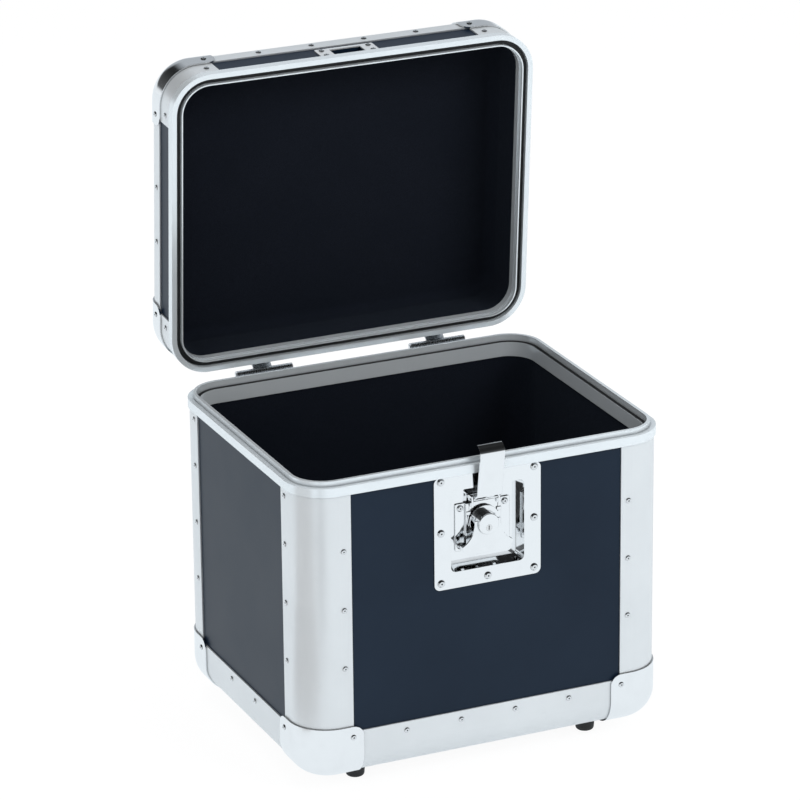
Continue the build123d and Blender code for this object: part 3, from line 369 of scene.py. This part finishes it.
def shade_strip(name, body, inner, outer, z0, z1, turn=0.0):
    """Black rubber strip lying in a rim, slightly crowned, turned about the hinge: painted shade for the
    groove.
    """
    mid = (inner + outer) / 2
    crown = z1 + (z1 - z0) * CROWN
    rows = [loop(outer, z0), loop(outer, z1), loop(mid, crown), loop(inner, z1), loop(inner, z0)]
    count = len(rows[0])
    turned = Quaternion((1.0, 0.0, 0.0), turn)
    verts = [turned @ (p - HINGE) + HINGE for row in rows for p in row]
    faces = []
    for r in range(len(rows)):
        for i in range(count):
            j = (i + 1) % count
            k = (r + 1) % len(rows)
            faces.append((r * count + i, r * count + j, k * count + j, k * count + i))
    mesh = bpy.data.meshes.new(name)
    mesh.from_pydata(verts, [], faces)
    mesh.materials.append(foot_rubber)
    made = bpy.data.objects.new(name, mesh)
    bpy.context.scene.collection.objects.link(made)
    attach(made, body)


# dark strips that paint the shade of the base rim's step and of the lid's groove
shade_strip("base_rim_shade_strip", "base", inner=0.0105, outer=0.0076, z0=0.3160, z1=0.3165)
shade_strip("lid_groove_shade_strip", "lid", inner=0.0086, outer=0.0038, z0=0.3238, z1=0.3234, turn=-LID_OPEN)


# ---------------------------------------------------------------- camera
AIM = Vector((0.0036, 0.0544 + SET_BACK, 0.3088))
AZIMUTH = math.radians(-24.15)
ELEVATION = math.radians(20.5)
ROLL = math.radians(-0.59)
DISTANCE = 4.481
SENSOR_MM = 36.0
LENS_MM = 204.35
cam_data = bpy.data.cameras.new("camera")
cam = bpy.data.objects.new("camera", cam_data)
bpy.context.scene.collection.objects.link(cam)
cam_data.sensor_width = SENSOR_MM
cam_data.lens = LENS_MM
level = math.cos(ELEVATION)
away = Vector((math.sin(AZIMUTH) * level, -math.cos(AZIMUTH) * level, math.sin(ELEVATION)))
cam.location = AIM + away * DISTANCE
cam.rotation_mode = "QUATERNION"
roll = Quaternion((0.0, 0.0, 1.0), ROLL)
cam.rotation_quaternion = (-away).to_track_quat("-Z", "Y") @ roll
bpy.context.scene.camera = cam


# ---------------------------------------------------------------- room
LIGHT_AIM = Vector((0.0, 0.0, 0.3))


def area_light(name, place, size, energy):
    """A soft lamp over the set. Metal mirrors the room instead of the lamps."""
    data = bpy.data.lights.new(name, "AREA")
    data.shape = "RECTANGLE"
    data.size, data.size_y = size
    data.energy = energy
    lamp = bpy.data.objects.new(name, data)
    lamp.location = place
    lamp.visible_glossy = False
    lamp.rotation_mode = "QUATERNION"
    lamp.rotation_quaternion = (LIGHT_AIM - Vector(place)).to_track_quat("-Z", "Y")
    bpy.context.scene.collection.objects.link(lamp)


area_light("key", (1.6, -2.6, 2.4), (1.8, 1.4), 56.0)
area_light("fill", (-2.8, -1.2, 1.4), (1.6, 1.8), 20.0)
area_light("top", (-0.2, 0.6, 3.2), (2.2, 2.2), 36.0)

STOPS = ((0.0, 0.95), (0.05, 0.85), (0.12, 0.10), (0.50, 0.02), (0.80, 0.015), (1.0, 0.03))
MIRRORED_TINT = (0.92, 0.965, 1.0)
AMBIENT = (0.55, 0.56, 0.57)
SWEEP = (0.385, 0.853, 0.35)        # the pale paper behind the case, rising out of the floor
SWEEP_EDGE = (0.86, 0.95)
SWEEP_SHARE = 0.85
SWEEP_TONE = (0.50, 0.54, 0.58)


def studio():
    """White to the camera, an even grey to matt surfaces, a dark room with pale paper to metal."""
    world = bpy.data.worlds.new("studio")
    bpy.context.scene.world = world
    world.use_nodes = True
    w = Nodes(world.node_tree)
    path = w.add("ShaderNodeLightPath")
    ray = w.add("ShaderNodeTexCoord").outputs["Generated"]
    split = w.add("ShaderNodeSeparateXYZ")
    w.link(ray, split.inputs["Vector"])
    ramp = w.add("ShaderNodeValToRGB")
    w.link(split.outputs["Z"], ramp.inputs["Fac"])
    while len(ramp.color_ramp.elements) < len(STOPS):
        ramp.color_ramp.elements.new(0.5)
    for element, (place, grey) in zip(ramp.color_ramp.elements, STOPS):
        element.position = place
        element.color = (*(grey * c for c in MIRRORED_TINT), 1.0)
    facing = w.add("ShaderNodeVectorMath", operation="DOT_PRODUCT")
    w.link(ray, facing.inputs[0])
    facing.inputs[1].default_value = SWEEP
    paper = w.spread(facing.outputs["Value"], 0.0, SWEEP_SHARE, *SWEEP_EDGE)
    mirrored = w.mix(paper, ramp.outputs["Color"], SWEEP_TONE)
    lit = w.mix(path.outputs["Is Glossy Ray"], AMBIENT, mirrored)
    seen = w.mix(path.outputs["Is Camera Ray"], lit, WHITE)
    w.link(seen, w.tree.nodes["Background"].inputs["Color"])


FLOOR_HALF = 12.0
FLOOR_TONE = (0.88, 0.88, 0.88)
FLOOR_MIRRORED = (0.84, 0.90, 0.94)
FLOOR_GLOW = 1.035
FLOOR_GLOW_SHARE = 0.90


def floor_finish():
    """Pale matt floor that glows white to the camera and cooler to metal."""
    mat = bpy.data.materials.new("floor_pale")
    mat.use_nodes = True
    f = Nodes(mat.node_tree)
    shader = f.tree.nodes["Principled BSDF"]
    shader.inputs["Base Color"].default_value = (*FLOOR_TONE, 1.0)
    shader.inputs["Roughness"].default_value = 0.9
    shader.inputs["Specular IOR Level"].default_value = 0.1
    path = f.add("ShaderNodeLightPath")
    camera_ray = path.outputs["Is Camera Ray"]
    glow = f.add("ShaderNodeEmission")
    f.link(f.mix(camera_ray, FLOOR_MIRRORED, WHITE), glow.inputs["Color"])
    glow.inputs["Strength"].default_value = FLOOR_GLOW
    seen = f.math("MAXIMUM", camera_ray, path.outputs["Is Glossy Ray"])
    blend = f.add("ShaderNodeMixShader")
    f.link(f.math("MULTIPLY", seen, FLOOR_GLOW_SHARE), blend.inputs["Fac"])
    f.link(shader.outputs["BSDF"], blend.inputs[1])
    f.link(glow.outputs["Emission"], blend.inputs[2])
    f.link(blend.outputs["Shader"], f.tree.nodes["Material Output"].inputs["Surface"])
    return mat


studio()
floor_mesh = bpy.data.meshes.new("floor")
floor_corners = [(FLOOR_HALF * sx, FLOOR_HALF * sy, 0) for sx, sy in ((-1, -1), (1, -1), (1, 1), (-1, 1))]
floor_mesh.from_pydata(floor_corners, [], [(0, 1, 2, 3)])
floor_mesh.materials.append(floor_finish())
floor = bpy.data.objects.new("floor", floor_mesh)
bpy.context.scene.collection.objects.link(floor)


def flag(name, height, grey, corners):
    """A grey card on the floor beside the set, which only metal reflects."""
    mesh = bpy.data.meshes.new(name)
    mesh.from_pydata([(x, y, height) for x, y in corners], [], [(0, 1, 2, 3)])
    card = bpy.data.objects.new(name, mesh)
    bpy.context.scene.collection.objects.link(card)
    card.visible_camera = False
    card.visible_diffuse = False
    card.visible_shadow = False
    mat = bpy.data.materials.new(name)
    mat.use_nodes = True
    shader = mat.node_tree.nodes["Principled BSDF"]
    shader.inputs["Base Color"].default_value = (grey, grey, grey, 1.0)
    shader.inputs["Roughness"].default_value = 1.0
    mesh.materials.append(mat)


flag("flag_left", 0.002, 0.45, ((-1.4, -0.95), (-0.30, -0.38), (-0.36, 0.0), (-1.5, 0.10)))
flag("flag_low", 0.003, 0.02, ((-0.60, -0.82), (-0.36, -0.82), (-0.33, -0.58), (-0.52, -0.54)))

bpy.context.scene.view_settings.view_transform = "Standard"
